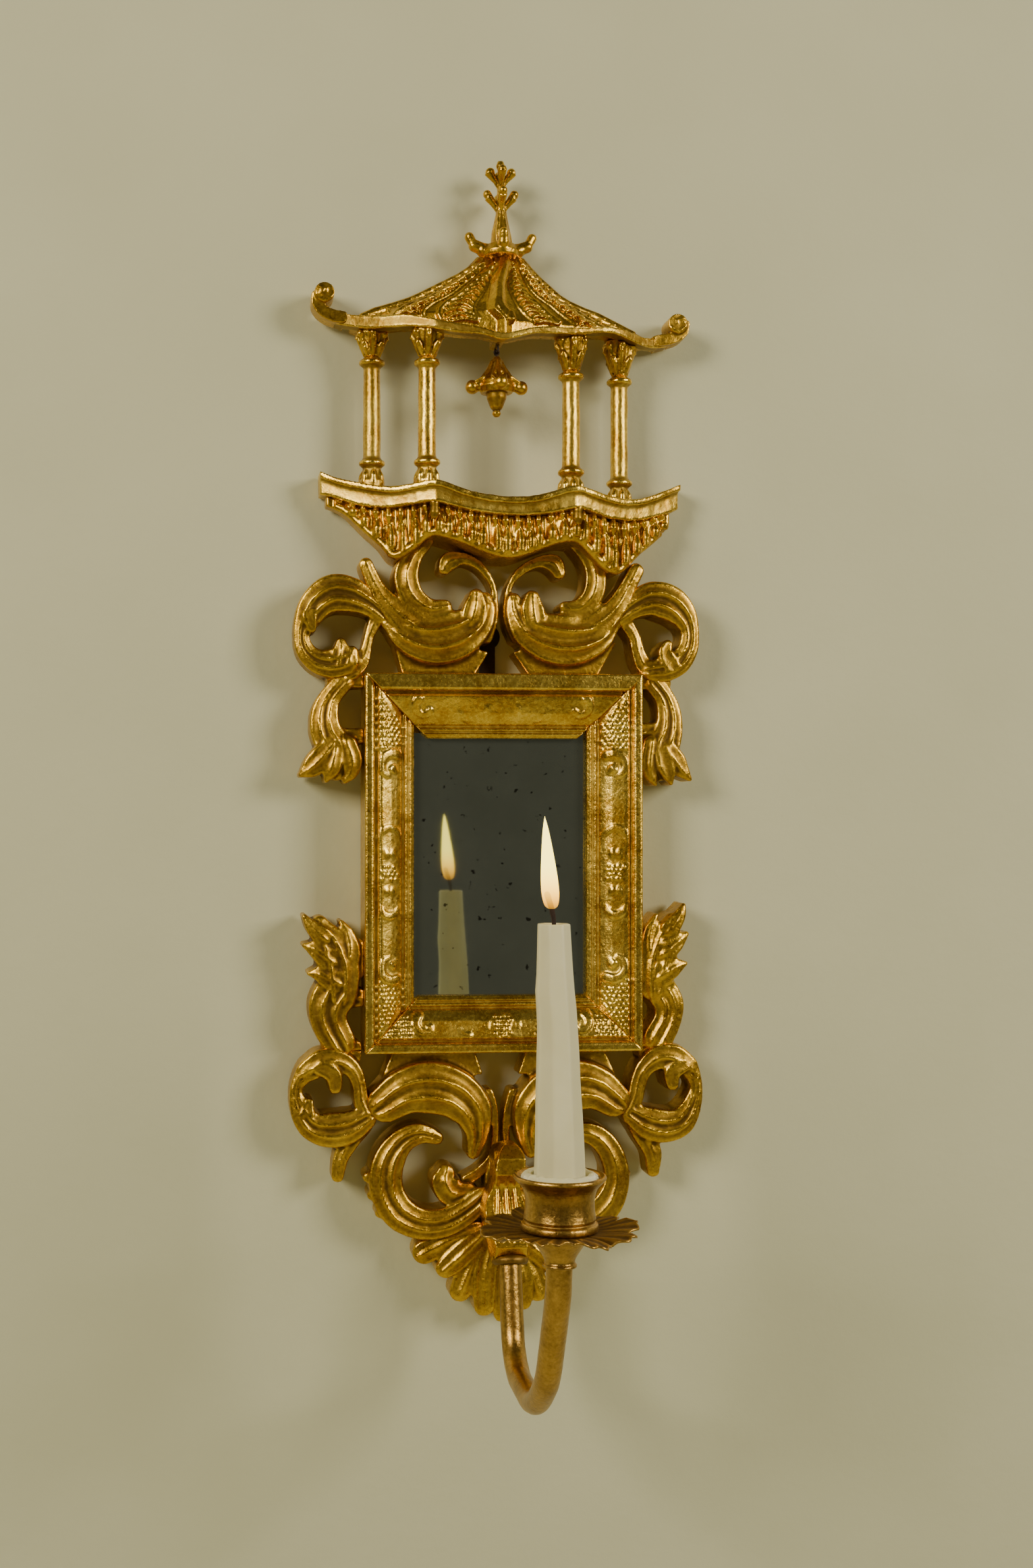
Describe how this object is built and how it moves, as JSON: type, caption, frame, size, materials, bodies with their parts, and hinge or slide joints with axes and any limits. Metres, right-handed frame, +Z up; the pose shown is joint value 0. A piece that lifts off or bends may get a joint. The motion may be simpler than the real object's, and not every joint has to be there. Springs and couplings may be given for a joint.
{
  "type": "wall sconce candle holder",
  "caption": "Gilt carved wall sconce: a small framed mirror under a pagoda with a hanging bell, and a looped arm that holds one candle over a leafy drip pan.",
  "frame": {"origin": "centre of the hanging hole, on the wall plane", "axes": "+Z up, +Y into the wall, +X to the right seen from the room"},
  "size_m": [0.2105, 0.2013, 0.604],
  "materials": {
    "gilt_wood": "burnished gold leaf on red bole over carved limewood, rubbed",
    "gilt_metal": "dull gilding with dark specks",
    "old_mirror": "old silvered plate, grey and faintly spotted",
    "bare_wood": "unfinished, darkened with age",
    "iron": "blackened wrought iron",
    "wax": "off-white candle wax, slightly translucent",
    "wick": "burnt cotton"
  },
  "bodies": {
    "sconce": {"apron_scroll_left": "gilt_wood", "apron_scroll_right": "gilt_wood", "apron_shell": "gilt_wood", "apron_spine": "gilt_wood", "apron_volute_left": "gilt_wood", "apron_volute_right": "gilt_wood", "arm_bracket": "gilt_wood", "arm_collar": "gilt_metal", "arm_ferrule": "gilt_metal", "arm_plug": "bare_wood", "arm_tube": "gilt_metal", "backing_brads": "iron", "balcony_cornice": "gilt_wood", "balcony_valance": "gilt_wood", "bell_staple": "iron", "bracket_screws": "iron", "candle_cup": "gilt_metal", "capital_inner_left": "gilt_wood", "capital_inner_right": "gilt_wood", "capital_outer_left": "gilt_wood", "capital_outer_right": "gilt_wood", "column_inner_left": "gilt_wood", "column_inner_right": "gilt_wood", "column_outer_left": "gilt_wood", "column_outer_right": "gilt_wood", "cornice_pegs": "gilt_wood", "crest_scroll_left": "gilt_wood", "crest_scroll_right": "gilt_wood", "crest_volute_left": "gilt_wood", "crest_volute_right": "gilt_wood", "cup_stud": "iron", "drip_pan": "gilt_metal", "finial_crescent": "gilt_wood", "finial_spire": "gilt_wood", "frame_rail_bottom": "gilt_wood", "frame_rail_left": "gilt_wood", "frame_rail_right": "gilt_wood", "frame_rail_top": "gilt_wood", "hanger_plate": "iron", "hanger_screws": "iron", "mirror_backboard": "bare_wood", "mirror_plate": "old_mirror", "pagoda_roof": "gilt_wood", "roof_curl_left": "gilt_wood", "roof_curl_right": "gilt_wood", "roof_eave": "gilt_wood", "side_leaf_lower_left": "gilt_wood", "side_leaf_lower_right": "gilt_wood", "side_leaf_upper_left": "gilt_wood", "side_leaf_upper_right": "gilt_wood", "wax_packing": "wax"},
    "candle": {"candle": "wax", "candle_wick": "wick"},
    "bell": {"bell_wire": "iron", "bell_body": "gilt_wood", "bell_drop": "gilt_wood"}
  },
  "joints": [
    {"name": "candle_lift", "type": "slide", "parent": "sconce", "child": "candle", "axis": [0, 0, 1], "range_m": [0, 0.06]},
    {"name": "bell_swing", "type": "hinge", "parent": "sconce", "child": "bell", "pos_m": [0.0007, -0.026, 0.1398], "axis": [0, 1, 0], "range_deg": [-35, 35]}
  ]
}
